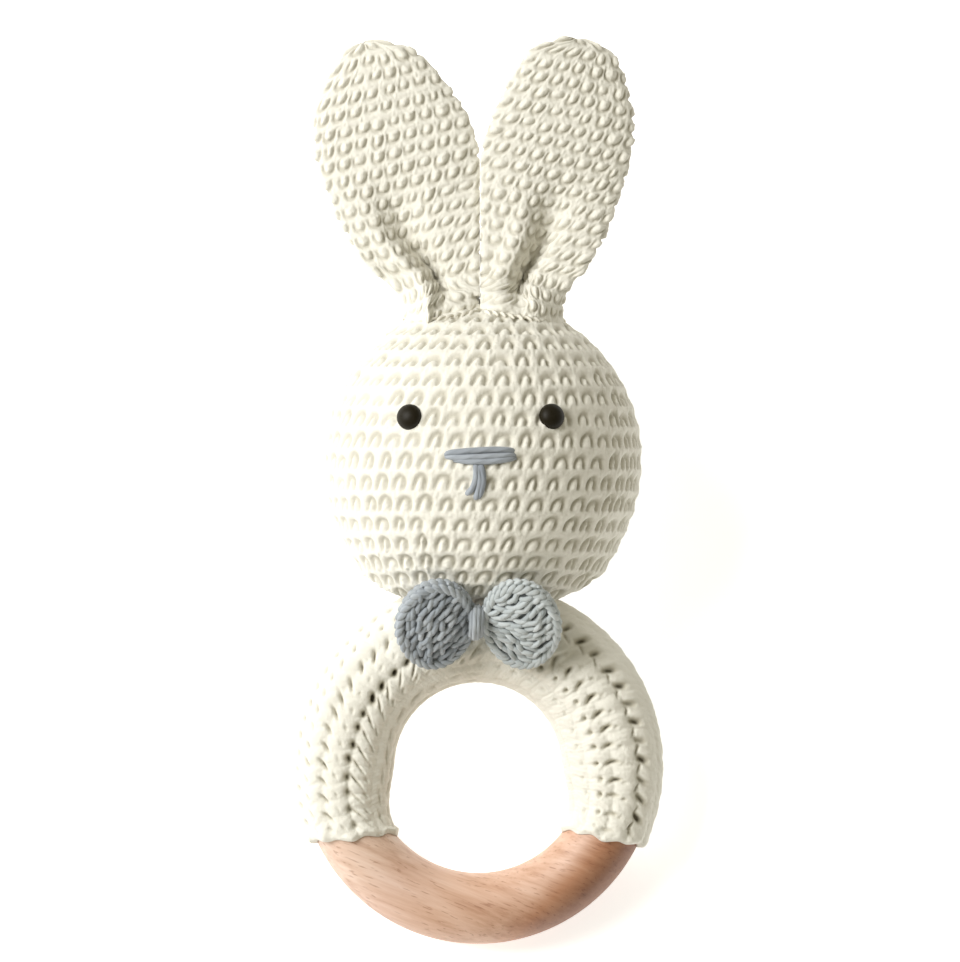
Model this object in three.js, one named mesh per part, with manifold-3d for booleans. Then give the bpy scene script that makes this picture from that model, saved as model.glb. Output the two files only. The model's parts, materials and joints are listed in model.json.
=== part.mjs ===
// A crocheted bunny rattle on a wooden ring, lying on its back.
// Millimetres, +Z up, the ears towards +Y, the face upwards.
import * as THREE from 'three';
import { mergeVertices } from 'three/addons/utils/BufferGeometryUtils.js';
import Module from 'manifold-3d';

const wasm = await Module();
wasm.setup();

// ---------------------------------------------------------------- driving dimensions

const GAP = 0.3; // clearance between touching pieces

// The rattle's own plane: X to the right, Y towards the ears, Z out of the face,
// with its origin at the centre of the wooden ring.
const RING_RADIUS = 28; // centre line of the wood
const WOOD_RADIUS = 7;
const WOOD_SEGMENTS = 48;
const WOOD_SIDES = 16;

const SLEEVE_OUTER = 37.1; // outer radius of the sleeve round the ring's centre
const SLEEVE_HOLE = 16.4; // radius of the hole that the sleeve leaves
const SLEEVE_END_HOLE = 20; // the same at its two thin ends
const SLEEVE_DEPTH = 9; // half its thickness, front to back
const SLEEVE_END_DEPTH = 8.4;
const SLEEVE_END_Y = -14.3; // the ends are cut level
const SLEEVE_TAPER_START = 0.6; // fraction of each arm where the taper begins
const SLEEVE_STATIONS = 14; // sections along each arm
const SLEEVE_SIDES = 16;
const SLEEVE_SEAM_REACH = THREE.MathUtils.degToRad(88); // to each side of the top of the hole
const SLEEVE_SEAM_POINTS = 12;

const HEAD_CENTRE = new THREE.Vector3(0.8, 60.4, 0);
const HEAD_RADIUS = 31.5;
const COVER_THICKNESS = 3;
const REST_FLAT = 0.6; // depth of the flat that the head lies on
const NECK_CLEARANCE = 0.5; // round the sleeve, so that the head can nod
const NECK_TROUGH_LENGTH = 60;
const NECK_TROUGH_SIDES = 32;
const NECK_SEAM_REACH = 12; // to each side of the middle
const NECK_SEAM_STEP = 3;

const CAPSULE_RADIUS = 14;
const CAPSULE_WALL = 1.2;
const CAPSULE_ARC_STEPS = 6;
const BEAD_RADIUS = 2.2;
const BEAD_SPACING = 4.8;
const BEAD_COUNT = 7; // one in the middle and the rest round it

const EYES = { left: [-13.5, 68.7], right: [14.5, 68.8] };
const EYE_RADIUS = 2.5;
const EYE_DOME = 2.1;
const POST_RADIUS = 1;
const POST_DEPTH = 5.6; // below the cover's outer face
const WASHER_RADIUS = 4.5;
const WASHER_THICKNESS = 1.2;
const WASHER_DEPTH = 3.7; // top of the washer below the cover's outer face

const EAR_DIVIDE = 0.4; // the ears meet at this X
const EAR_HINGE_Y = 95.5;
const EAR_THICKNESS = 6.4;
const EAR_CURL = 3.5; // how far the base's edges roll forward
const EAR_CURL_END = 0.6; // fraction of the length where the curl has died out
const EAR_TIP_THINNING = 0.8;
const EAR_STATIONS = 18; // sections from base to tip
const EAR_SIDES = 20;
const EAR_ROOT_SPAN = 20; // half the depth that the root is turned over
const EAR_REACH = 36; // half the height kept above the hinge line

// Both edges of each ear from base to tip, point by point at about the same height.
const EAR_EDGES = {
  left: {
    rightEdge: [[0.1, 88], [0.1, 98], [0.1, 108], [0.1, 118],
      [-2.1, 128], [-8.4, 137.5], [-13.8, 141.6], [-20, 142.9]],
    leftEdge: [[-15.5, 88], [-22.6, 98], [-28.3, 108], [-32.1, 118],
      [-32.7, 128], [-28.8, 137.5], [-25, 141.6], [-20, 142.9]],
  },
  right: {
    leftEdge: [[0.7, 88], [0.7, 98], [0.7, 108], [0.7, 118],
      [2.9, 128], [7.3, 137.5], [11, 141.75], [17.8, 143.8]],
    rightEdge: [[16.8, 88], [22.3, 98], [27, 108], [30.2, 118],
      [31, 128], [28.3, 137.5], [25, 141.75], [17.8, 143.8]],
  },
};

// The sewing round each ear's base, as [distance from EAR_DIVIDE, Z].
const EAR_SEAM = [[1.6, 7], [8, 7.6], [15, 7], [19.3, 0], [15, -7], [8, -7.6], [1.6, -7]];

const YARN_RADIUS = 0.8;
const THREAD_RADIUS = 0.6;

// The embroidered strands, as places on the face.
const NOSE_UPPER = [[-6.7, 61.4], [-3, 61.7], [1, 61.8], [7.6, 61.9]];
const NOSE_LOWER = [[-6.3, 59.7], [-3, 60.1], [1, 60.3], [7.2, 60.4]];
const MOUTH_LEFT = [[-0.6, 58.8], [-0.5, 56.8], [-1, 54.9], [-2.2, 53.5]];
const MOUTH_RIGHT = [[0.9, 58.9], [1, 56.8], [0.8, 54.6], [0.4, 52.6]];

const BOW_CENTRE = new THREE.Vector3(0, 28.2, 16.5);
const BOW_TILT = THREE.MathUtils.degToRad(40);
const BOW_LOBE = new THREE.Vector3(7.65, 10.6, 2.8);
const BOW_LOBE_X = { left: -8.3, right: 8.4 };
const BOW_LOBE_ROWS = 10;
const BOW_KNOT = new THREE.Vector3(1.6, 4.3, 3.4);
const BOW_KNOT_X = -0.3;
const BOW_KNOT_ROWS = 8;

const BISECTIONS = 24;

// ---------------------------------------------------------------- materials

const standard = (options) => new THREE.MeshStandardMaterial(options);
const finish = (color, roughness) => standard({ color, roughness, metalness: 0 });
const cream = () => finish('#e8e4d6', 0.95);
const greyBlue = () => finish('#95a0ac', 0.9);
const beech = () => finish('#d9ab8b', 0.5);
const blackPlastic = () => finish('#1c1a18', 0.3);
const whiteFibre = () => finish('#f4f4f0', 1);
const clearPlastic = () => finish('#d8dcdc', 0.35);
const beadSteel = () => standard({ color: '#b8babc', roughness: 0.3, metalness: 1 });

// ---------------------------------------------------------------- helpers

// One indexed body: shared vertices merged and collapsed triangles left out.
function closed(geometry) {
  const bare = geometry.clone();
  bare.deleteAttribute('normal');
  bare.deleteAttribute('uv');
  const merged = mergeVertices(bare, 1e-4);
  const source = merged.index.array;
  const kept = [];
  for (let i = 0; i < source.length; i += 3) {
    const [a, b, c] = [source[i], source[i + 1], source[i + 2]];
    if (a !== b && b !== c && c !== a) kept.push(a, b, c);
  }
  merged.setIndex(kept);
  merged.computeVertexNormals();
  return merged;
}

function solid(geometry) {
  const body = closed(geometry);
  const vertProperties = new Float32Array(body.attributes.position.array);
  const triVerts = new Uint32Array(body.index.array);
  return new wasm.Manifold(new wasm.Mesh({ numProp: 3, vertProperties, triVerts }));
}

function fromSolid(manifold) {
  const { vertProperties, triVerts } = manifold.getMesh();
  const geometry = new THREE.BufferGeometry();
  geometry.setAttribute('position', new THREE.BufferAttribute(new Float32Array(vertProperties), 3));
  geometry.setIndex(new THREE.BufferAttribute(new Uint32Array(triVerts), 1));
  geometry.computeVertexNormals();
  return geometry;
}

function mesh(name, geometry, material) {
  const piece = new THREE.Mesh(geometry, material);
  piece.name = name;
  return piece;
}

// A solid skinned over rings of points, with a flat fan at each end.
function loft(rings) {
  const sides = rings[0].length;
  const points = rings.flat();
  const index = [];
  for (let r = 0; r + 1 < rings.length; r += 1) {
    for (let s = 0; s < sides; s += 1) {
      const a = r * sides + s;
      const b = r * sides + ((s + 1) % sides);
      index.push(a, b, b + sides, a, b + sides, a + sides);
    }
  }
  [0, rings.length - 1].forEach((r) => {
    const centre = new THREE.Vector3();
    rings[r].forEach((p) => centre.addScaledVector(p, 1 / sides));
    points.push(centre);
    for (let s = 0; s < sides; s += 1) {
      const a = r * sides + s;
      const b = r * sides + ((s + 1) % sides);
      if (r === 0) index.push(b, a, points.length - 1);
      else index.push(a, b, points.length - 1);
    }
  });
  const geometry = new THREE.BufferGeometry().setFromPoints(points);
  geometry.setIndex(index);
  return closed(geometry);
}

function circleShape(radius, sides) {
  const points = [];
  for (let s = 0; s < sides; s += 1) {
    const angle = (2 * Math.PI * s) / sides;
    points.push(new THREE.Vector2(radius * Math.cos(angle), radius * Math.sin(angle)));
  }
  return new THREE.Shape(points);
}

// A strand of yarn along a smooth curve through the points.
function strand(points, radius, steps, sides = 6) {
  const extrudePath = new THREE.CatmullRomCurve3(points);
  const options = { steps, extrudePath, bevelEnabled: false };
  return closed(new THREE.ExtrudeGeometry(circleShape(radius, sides), options));
}

// The point of the head's surface at (x, y) in the face's plane, raised by lift.
function onFace(x, y, lift) {
  const dx = x - HEAD_CENTRE.x;
  const dy = y - HEAD_CENTRE.y;
  const dz = Math.sqrt(HEAD_RADIUS ** 2 - dx ** 2 - dy ** 2);
  const outward = new THREE.Vector3(dx, dy, dz).normalize();
  return HEAD_CENTRE.clone().addScaledVector(outward, HEAD_RADIUS + lift);
}

// The top of a head of the given radius at (x, z).
function crown(x, z, radius) {
  return HEAD_CENTRE.y + Math.sqrt(radius ** 2 - (x - HEAD_CENTRE.x) ** 2 - z ** 2);
}

// ---------------------------------------------------------------- ring and sleeve

const sleeveCentre = (SLEEVE_OUTER + SLEEVE_HOLE) / 2;
const sleeveWidth = (SLEEVE_OUTER - SLEEVE_HOLE) / 2;

function woodRing() {
  return closed(new THREE.TorusGeometry(RING_RADIUS, WOOD_RADIUS, WOOD_SIDES, WOOD_SEGMENTS));
}

// One section of the sleeve. Along runs from -1 at the left end to 1 at the right end,
// and the sections lean over towards the ends, which are level cuts.
function sleeveSection(along) {
  const taper = THREE.MathUtils.smoothstep(Math.abs(along), SLEEVE_TAPER_START, 1);
  const hole = THREE.MathUtils.lerp(SLEEVE_HOLE, SLEEVE_END_HOLE, taper);
  const depth = THREE.MathUtils.lerp(SLEEVE_DEPTH, SLEEVE_END_DEPTH, taper);
  const points = [];
  for (let s = 0; s < SLEEVE_SIDES; s += 1) {
    const turn = (2 * Math.PI * (s + 0.5)) / SLEEVE_SIDES;
    const radius = (SLEEVE_OUTER + hole) / 2 + ((SLEEVE_OUTER - hole) / 2) * Math.cos(turn);
    const reach = Math.PI / 2 + Math.asin(-SLEEVE_END_Y / radius);
    const angle = along * reach;
    const z = depth * Math.sin(turn);
    points.push(new THREE.Vector3(radius * Math.sin(angle), radius * Math.cos(angle), z));
  }
  return points;
}

function seamArc(radius, sides) {
  const seamRadius = SLEEVE_HOLE + YARN_RADIUS - GAP;
  const points = [];
  for (let i = 0; i <= SLEEVE_SEAM_POINTS; i += 1) {
    const angle = SLEEVE_SEAM_REACH * ((2 * i) / SLEEVE_SEAM_POINTS - 1);
    points.push(new THREE.Vector3(seamRadius * Math.sin(angle), seamRadius * Math.cos(angle), 0));
  }
  return strand(points, radius, 2 * SLEEVE_SEAM_POINTS, sides);
}

function ringSleeve() {
  const rings = [];
  for (let i = -SLEEVE_STATIONS; i <= SLEEVE_STATIONS; i += 1) {
    rings.push(sleeveSection(i / SLEEVE_STATIONS));
  }
  const bore = new THREE.TorusGeometry(RING_RADIUS, WOOD_RADIUS + GAP, WOOD_SIDES, WOOD_SEGMENTS);
  const seamGroove = seamArc(YARN_RADIUS + GAP, 6);
  return fromSolid(solid(loft(rings)).subtract(solid(bore)).subtract(solid(seamGroove)));
}

// ---------------------------------------------------------------- head

// The head leans back until it and the wood's lower edge both rest on the ground.
const restDepth = HEAD_RADIUS - REST_FLAT;
const lean = Math.asin((restDepth - WOOD_RADIUS) / (HEAD_CENTRE.y + RING_RADIUS));
const upwards = new THREE.Vector3(0, Math.sin(lean), Math.cos(lean));

function headBall(radius, around = 28, down = 18) {
  const ball = new THREE.SphereGeometry(radius, around, down);
  ball.translate(HEAD_CENTRE.x, HEAD_CENTRE.y, HEAD_CENTRE.z);
  return solid(ball);
}

// What the sleeve sweeps out of the head's underside as the head nods.
function neckTrough(clearance) {
  const radius = sleeveWidth + clearance;
  const trough = new THREE.CylinderGeometry(radius, radius, NECK_TROUGH_LENGTH, NECK_TROUGH_SIDES);
  trough.rotateZ(Math.PI / 2);
  trough.translate(0, sleeveCentre, 0);
  return solid(trough);
}

// A cylinder along the outward direction of one eye, between two depths below the surface.
function eyeCylinder([x, y], radius, top, bottom) {
  const cylinder = new THREE.CylinderGeometry(radius, radius, bottom - top, 16);
  const outward = onFace(x, y, 0).sub(HEAD_CENTRE).normalize();
  cylinder.applyQuaternion(new THREE.Quaternion().setFromUnitVectors(THREE.Object3D.DEFAULT_UP, outward));
  const middle = onFace(x, y, -(top + bottom) / 2);
  cylinder.translate(middle.x, middle.y, middle.z);
  return solid(cylinder);
}

function groundBelow() {
  const side = 4 * HEAD_RADIUS;
  const block = new THREE.BoxGeometry(side, side, side);
  block.rotateX(-lean);
  const middle = HEAD_CENTRE.clone().addScaledVector(upwards, -restDepth - side / 2);
  block.translate(middle.x, middle.y, middle.z);
  return solid(block);
}

function headCover() {
  let cover = headBall(HEAD_RADIUS).subtract(headBall(HEAD_RADIUS - COVER_THICKNESS));
  cover = cover.subtract(neckTrough(NECK_CLEARANCE)).subtract(groundBelow());
  Object.values(EYES).forEach((eye) => {
    cover = cover.subtract(eyeCylinder(eye, POST_RADIUS + GAP, -EYE_DOME, POST_DEPTH));
  });
  return fromSolid(cover);
}

// Half of the filling: facing is 1 for the front half and -1 for the back half.
function stuffing(facing) {
  const side = 4 * HEAD_RADIUS;
  const half = new THREE.BoxGeometry(side, side, side);
  half.translate(HEAD_CENTRE.x, HEAD_CENTRE.y, facing * (side + GAP) / 2);
  let filling = headBall(HEAD_RADIUS - COVER_THICKNESS - GAP, 24, 16).intersect(solid(half));
  filling = filling.subtract(headBall(CAPSULE_RADIUS + GAP, 20, 12));
  filling = filling.subtract(neckTrough(NECK_CLEARANCE + GAP));
  Object.values(EYES).forEach((eye) => {
    filling = filling.subtract(eyeCylinder(eye, WASHER_RADIUS + GAP, -EYE_DOME, POST_DEPTH + GAP));
  });
  return fromSolid(filling);
}

// Half of the rattle capsule, a thin bowl whose rim lies in the face's plane.
function capsuleHalf(facing) {
  const points = [];
  const arc = (radius, from, to) => {
    for (let i = 0; i <= CAPSULE_ARC_STEPS; i += 1) {
      const angle = THREE.MathUtils.lerp(from, to, i / CAPSULE_ARC_STEPS);
      points.push(new THREE.Vector2(radius * Math.cos(angle), radius * Math.sin(angle) + GAP / 2));
    }
  };
  arc(CAPSULE_RADIUS - CAPSULE_WALL, Math.PI / 2, 0);
  arc(CAPSULE_RADIUS - GAP / 2, 0, Math.PI / 2);
  points[0].x = 0;
  points[points.length - 1].x = 0;
  const bowl = new THREE.LatheGeometry(points, 18);
  bowl.rotateX(facing * Math.PI / 2);
  bowl.translate(HEAD_CENTRE.x, HEAD_CENTRE.y, HEAD_CENTRE.z);
  return fromSolid(solid(bowl));
}

// The beads lie in a cluster at the lowest point inside the capsule.
function beads() {
  const cluster = new THREE.Group();
  cluster.position.copy(HEAD_CENTRE);
  cluster.rotation.x = -lean;
  const reach = CAPSULE_RADIUS - CAPSULE_WALL - BEAD_RADIUS - GAP;
  for (let i = 0; i < BEAD_COUNT; i += 1) {
    const spread = i === 0 ? 0 : BEAD_SPACING;
    const angle = (2 * Math.PI * i) / (BEAD_COUNT - 1);
    const ball = closed(new THREE.IcosahedronGeometry(BEAD_RADIUS, 1));
    const bead = mesh(`rattle_bead_${i + 1}`, ball, beadSteel());
    const depth = Math.sqrt(reach ** 2 - spread ** 2);
    bead.position.set(spread * Math.cos(angle), spread * Math.sin(angle), -depth);
    cluster.add(bead);
  }
  return cluster;
}

// ---------------------------------------------------------------- face

function faceDirection(piece, [x, y]) {
  const outward = onFace(x, y, 0).sub(HEAD_CENTRE).normalize();
  piece.quaternion.setFromUnitVectors(THREE.Object3D.DEFAULT_UP, outward);
  piece.position.copy(onFace(x, y, 0));
  return piece;
}

// A black dome on a post that goes down through the fabric.
function eye(name, place) {
  const points = [new THREE.Vector2(0, -POST_DEPTH), new THREE.Vector2(POST_RADIUS, -POST_DEPTH)];
  points.push(new THREE.Vector2(POST_RADIUS, GAP));
  for (let i = 0; i <= 5; i += 1) {
    const angle = (Math.PI / 2) * (i / 5);
    const radius = i === 5 ? 0 : EYE_RADIUS * Math.cos(angle);
    points.push(new THREE.Vector2(radius, GAP + EYE_DOME * Math.sin(angle)));
  }
  return faceDirection(mesh(name, closed(new THREE.LatheGeometry(points, 16)), blackPlastic()), place);
}

function eyeWasher(name, place) {
  const inner = POST_RADIUS + GAP;
  const low = -WASHER_DEPTH - WASHER_THICKNESS;
  const high = -WASHER_DEPTH;
  const corners = [[inner, low], [WASHER_RADIUS, low], [WASHER_RADIUS, high], [inner, high]];
  const points = corners.map(([x, y]) => new THREE.Vector2(x, y));
  points.push(points[0].clone());
  return faceDirection(mesh(name, closed(new THREE.LatheGeometry(points, 16)), whiteFibre()), place);
}

function faceThread(name, places) {
  const points = places.map(([x, y]) => onFace(x, y, THREAD_RADIUS + GAP));
  return mesh(name, strand(points, THREAD_RADIUS, 10), greyBlue());
}

// ---------------------------------------------------------------- ears

function earBlank({ rightEdge, leftEdge }) {
  const spline = (points) => new THREE.SplineCurve(points.map(([x, y]) => new THREE.Vector2(x, y)));
  const [start, end] = [spline(rightEdge), spline(leftEdge)];
  const rings = [];
  for (let i = 0; i < EAR_STATIONS; i += 1) {
    const along = Math.sin((Math.PI / 2) * (i / EAR_STATIONS));
    const [from, to] = [start.getPoint(along), end.getPoint(along)];
    const middle = from.clone().add(to).multiplyScalar(0.5);
    const half = to.clone().sub(from).multiplyScalar(0.5);
    const curl = EAR_CURL * (1 - THREE.MathUtils.smoothstep(along, 0, EAR_CURL_END));
    const thickness = EAR_THICKNESS * Math.sqrt(1 - EAR_TIP_THINNING * along ** 8);
    const ring = [];
    for (let s = 0; s < EAR_SIDES; s += 1) {
      const turn = (2 * Math.PI * s) / EAR_SIDES;
      const across = Math.cos(turn);
      const depth = (thickness / 2) * Math.sin(turn) + curl * across ** 2;
      ring.push(new THREE.Vector3(middle.x + half.x * across, middle.y + half.y * across, depth));
    }
    rings.push(ring);
  }
  return loft(rings);
}

// The ear above its hinge line, and below it what stays clear of the head as it flops.
function ear(edges) {
  const above = new THREE.BoxGeometry(2 * EAR_REACH, 2 * EAR_REACH, 2 * EAR_REACH);
  above.translate(0, EAR_HINGE_Y + EAR_REACH, 0);
  const points = [new THREE.Vector2(0, -EAR_ROOT_SPAN)];
  for (let x = -EAR_ROOT_SPAN; x <= EAR_ROOT_SPAN; x += 2) {
    points.push(new THREE.Vector2(EAR_HINGE_Y - crown(x, 0, HEAD_RADIUS) - GAP, x));
  }
  points.push(new THREE.Vector2(0, EAR_ROOT_SPAN));
  const root = new THREE.LatheGeometry(points, 24);
  root.rotateZ(-Math.PI / 2);
  root.translate(0, EAR_HINGE_Y, 0);
  return fromSolid(solid(earBlank(edges)).intersect(solid(above).add(solid(root))));
}

// Side is -1 for the left ear and 1 for the right: a U of yarn round the ear's base.
function earSeam(side) {
  const points = EAR_SEAM.map(([out, z]) => {
    const x = EAR_DIVIDE + side * out;
    return new THREE.Vector3(x, crown(x, z, HEAD_RADIUS + GAP + YARN_RADIUS), z);
  });
  return strand(points, YARN_RADIUS, 20);
}

// ---------------------------------------------------------------- neck and bow

// The crease between the head and the sleeve at x, where the sewing yarn lies.
function creasePoint(x, facing) {
  const offSleeve = YARN_RADIUS + 2 * NECK_CLEARANCE;
  const place = (turn) => {
    const radius = sleeveCentre + (sleeveWidth + offSleeve) * Math.cos(turn);
    const depth = (SLEEVE_DEPTH + offSleeve) * Math.sin(turn);
    return new THREE.Vector3(x, Math.sqrt(radius ** 2 - x ** 2), facing * depth);
  };
  let low = 0;
  let high = Math.PI / 2;
  for (let i = 0; i < BISECTIONS; i += 1) {
    const middle = (low + high) / 2;
    const outside = place(middle).distanceTo(HEAD_CENTRE) > HEAD_RADIUS + GAP + YARN_RADIUS;
    if (outside) high = middle;
    else low = middle;
  }
  return place(high);
}

function neckSeam(facing) {
  const points = [];
  for (let x = -NECK_SEAM_REACH; x <= NECK_SEAM_REACH; x += NECK_SEAM_STEP) {
    points.push(creasePoint(x, facing));
  }
  return strand(points, YARN_RADIUS, 16);
}

// A bow lobe or knot, a flattened ball in the bow's tilted plane.
function bowBall(size, x, rows) {
  const ball = new THREE.SphereGeometry(1, 2 * rows, rows);
  ball.scale(size.x, size.y, size.z);
  ball.translate(x, 0, 0);
  ball.rotateX(BOW_TILT);
  ball.translate(BOW_CENTRE.x, BOW_CENTRE.y, BOW_CENTRE.z);
  return solid(ball);
}

function bowLobe(x) {
  const hollow = bowBall(BOW_KNOT.clone().addScalar(GAP), BOW_KNOT_X, BOW_KNOT_ROWS);
  return fromSolid(bowBall(BOW_LOBE, x, BOW_LOBE_ROWS).subtract(hollow));
}

function bowKnot() {
  return fromSolid(bowBall(BOW_KNOT, BOW_KNOT_X, BOW_KNOT_ROWS));
}

// ---------------------------------------------------------------- assembly

const bunny = new THREE.Group();

bunny.add(mesh('wood_ring', woodRing(), beech()));
bunny.add(mesh('ring_sleeve', ringSleeve(), cream()));
bunny.add(mesh('sleeve_seam', seamArc(YARN_RADIUS, 6), cream()));

bunny.add(mesh('head_cover', headCover(), cream()));
bunny.add(mesh('stuffing_front', stuffing(1), whiteFibre()));
bunny.add(mesh('stuffing_back', stuffing(-1), whiteFibre()));
bunny.add(mesh('capsule_front', capsuleHalf(1), clearPlastic()));
bunny.add(mesh('capsule_back', capsuleHalf(-1), clearPlastic()));
bunny.add(beads());

Object.entries(EYES).forEach(([side, place]) => {
  bunny.add(eye(`eye_${side}`, place));
  bunny.add(eyeWasher(`eye_washer_${side}`, place));
});

bunny.add(faceThread('nose_upper_strand', NOSE_UPPER));
bunny.add(faceThread('nose_lower_strand', NOSE_LOWER));
bunny.add(faceThread('mouth_left_strand', MOUTH_LEFT));
bunny.add(faceThread('mouth_right_strand', MOUTH_RIGHT));

Object.entries(EAR_EDGES).forEach(([side, edges]) => {
  bunny.add(mesh(`ear_${side}`, ear(edges), cream()));
  bunny.add(mesh(`ear_seam_${side}`, earSeam(side === 'left' ? -1 : 1), cream()));
});

bunny.add(mesh('neck_seam_front', neckSeam(1), cream()));
bunny.add(mesh('neck_seam_back', neckSeam(-1), cream()));
bunny.add(mesh('bow_left_lobe', bowLobe(BOW_LOBE_X.left), greyBlue()));
bunny.add(mesh('bow_right_lobe', bowLobe(BOW_LOBE_X.right), greyBlue()));
bunny.add(mesh('bow_knot', bowKnot(), greyBlue()));

// Laid on its back, with the origin under the middle of its box.
bunny.rotation.x = lean;
const rattle = new THREE.Group();
rattle.add(bunny);
rattle.updateMatrixWorld(true);
const box = new THREE.Box3().setFromObject(rattle, true);
bunny.position.set(-(box.min.x + box.max.x) / 2, -(box.min.y + box.max.y) / 2, -box.min.z);

export default rattle;
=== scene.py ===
"""Crocheted bunny rattle on a wooden ring: the looks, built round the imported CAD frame."""

import json
import math

import bpy
import numpy as np
from mathutils import Matrix, Vector


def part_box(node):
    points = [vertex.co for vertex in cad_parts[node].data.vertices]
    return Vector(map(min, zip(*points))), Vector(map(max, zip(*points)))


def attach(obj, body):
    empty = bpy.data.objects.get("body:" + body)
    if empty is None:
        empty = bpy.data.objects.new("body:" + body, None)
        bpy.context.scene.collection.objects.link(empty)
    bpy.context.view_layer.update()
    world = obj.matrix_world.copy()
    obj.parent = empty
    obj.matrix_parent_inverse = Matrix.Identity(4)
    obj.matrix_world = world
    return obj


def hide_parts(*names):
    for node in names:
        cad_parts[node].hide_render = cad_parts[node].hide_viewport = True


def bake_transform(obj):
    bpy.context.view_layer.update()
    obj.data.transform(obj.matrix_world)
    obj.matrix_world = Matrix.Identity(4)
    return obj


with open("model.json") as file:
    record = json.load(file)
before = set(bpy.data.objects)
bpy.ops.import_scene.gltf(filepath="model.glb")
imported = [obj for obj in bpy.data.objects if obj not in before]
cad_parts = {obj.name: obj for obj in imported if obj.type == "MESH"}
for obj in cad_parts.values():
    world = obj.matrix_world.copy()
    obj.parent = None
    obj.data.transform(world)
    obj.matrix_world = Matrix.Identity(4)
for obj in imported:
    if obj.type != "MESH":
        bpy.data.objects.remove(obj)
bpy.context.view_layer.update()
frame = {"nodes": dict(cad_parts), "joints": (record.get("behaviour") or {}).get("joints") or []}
rng = np.random.default_rng(7)

# ---- the rattle's own plane
# Shapes are worked out in it, in millimetres: its origin is the centre of the wooden ring,
# X runs to the right, Y towards the ears and Z out of the face.

MM = 0.001
JOINTS = {joint["name"]: joint for joint in frame["joints"]}
ORIGIN = np.array(JOINTS["ring_turn"]["pos_m"])
OUTWARD = np.array(JOINTS["ring_turn"]["axis"])
AXES = np.array([[1.0, 0.0, 0.0], np.cross(OUTWARD, [1.0, 0.0, 0.0]), OUTWARD])
GROUND_LIFT = 0.00005


def to_row(points):
    """Own plane, in millimetres, to the row frame, in metres."""
    return ORIGIN + (np.asarray(points, float) * MM) @ AXES


def to_own(points):
    """Row frame, in metres, to the rattle's own plane, in millimetres."""
    return (np.asarray(points, float) - ORIGIN) @ AXES.T / MM


def own_middle(*nodes):
    """The middle of some CAD nodes' common box, in the rattle's own plane."""
    corners = [np.array(corner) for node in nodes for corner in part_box(node)]
    return to_own((np.min(corners, axis=0) + np.max(corners, axis=0)) / 2)


def size(node):
    low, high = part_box(node)
    return np.array(high - low) / MM


RING_RADIUS = 28.0  # centre line of the ring
WOOD_RADIUS = size("wood_ring")[0] / 2 - RING_RADIUS
SLEEVE_OUTER = size("ring_sleeve")[0] / 2
SLEEVE_HOLE, SLEEVE_END_HOLE = 16.4, 20.2  # radius of the hole, at the top and at the two ends
SLEEVE_DEPTH, SLEEVE_END_DEPTH = 9.0, 8.4  # from the middle to the front, at the same places
SLEEVE_END_Y = -14.3
SLEEVE_TAPER_START = 0.6  # share of the way from the top to an end
HEAD_CENTRE = own_middle("capsule_front", "capsule_back")
HEAD_RADIUS = size("head_cover")[0] / 2
NOD_Y = to_own(JOINTS["head_nod"]["pos_m"])[1]
EAR_HINGE_Y = to_own(JOINTS["left_ear_flop"]["pos_m"])[1]
EAR_DIVIDE = 0.4  # the x where the two ears meet

# ---- small tools


def smoothstep(low, high, value):
    t = np.clip((np.asarray(value, float) - low) / (high - low), 0.0, 1.0)
    return t * t * (3 - 2 * t)


def unit(vectors):
    length = np.linalg.norm(vectors, axis=-1, keepdims=True)
    return vectors / np.maximum(length, 1e-9)


def round_turn(count):
    """Angles evenly spaced round a full turn, in radians."""
    return np.linspace(0, 2 * np.pi, count, endpoint=False)


def xyz(*parts):
    """Points or directions from arrays of their coordinates."""
    return np.stack(np.broadcast_arrays(*parts), axis=-1)


def curve_through(points, count):
    """Catmull-Rom curve through the points, sampled evenly in its parameter."""
    points = np.asarray(points, float)
    ends = np.vstack([2 * points[0] - points[1], points, 2 * points[-1] - points[-2]])
    t = np.linspace(0, len(points) - 1, count)
    i = np.minimum(t.astype(int), len(points) - 2)
    f = (t - i)[:, None]
    a, b, c, d = ends[i], ends[i + 1], ends[i + 2], ends[i + 3]
    bend = (2 * a - 5 * b + 4 * c - d) * f**2 + (3 * b - 3 * c + d - a) * f**3
    return 0.5 * (2 * b + (c - a) * f + bend)


def add_object(name, data):
    made = bpy.data.objects.new(name, data)
    bpy.context.scene.collection.objects.link(made)
    return made


def build(name, points, faces, material, uvs=None, tone=None):
    """A smooth mesh object from points in the rattle's own plane."""
    placed = to_row(points)
    placed[:, 2] = np.maximum(placed[:, 2], GROUND_LIFT)
    mesh = bpy.data.meshes.new(name)
    mesh.from_pydata(placed.tolist(), [], faces)
    if tone is not None:
        tones = mesh.attributes.new("tone", "FLOAT", "POINT")
        tones.data.foreach_set("value", tone.astype(np.float32))
    if uvs is not None:
        mesh.uv_layers.new(name="yarn").data.foreach_set("uv", uvs.astype(np.float32).ravel())
    mesh.polygons.foreach_set("use_smooth", [True] * len(mesh.polygons))
    mesh.materials.append(material)
    mesh.update()
    return add_object(name, mesh)


def stand_for(made, body, node):
    """Puts a piece on its body, in the place of its CAD node."""
    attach(made, body)
    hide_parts(node)


def tube_faces(rows, columns):
    """Faces of a tube whose rows are closed loops of points."""
    faces = []
    for start in range(0, (rows - 1) * columns, columns):
        for c in range(columns):
            d = (c + 1) % columns
            faces.append((start + c, start + d, start + columns + d, start + columns + c))
    return faces


def closed_faces(rows, columns):
    """The same tube, closed by a flat face at each end."""
    first, last = range(columns), range((rows - 1) * columns, rows * columns)
    return tube_faces(rows, columns) + [tuple(first)[::-1], tuple(last)]


# ---- yarn

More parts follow.
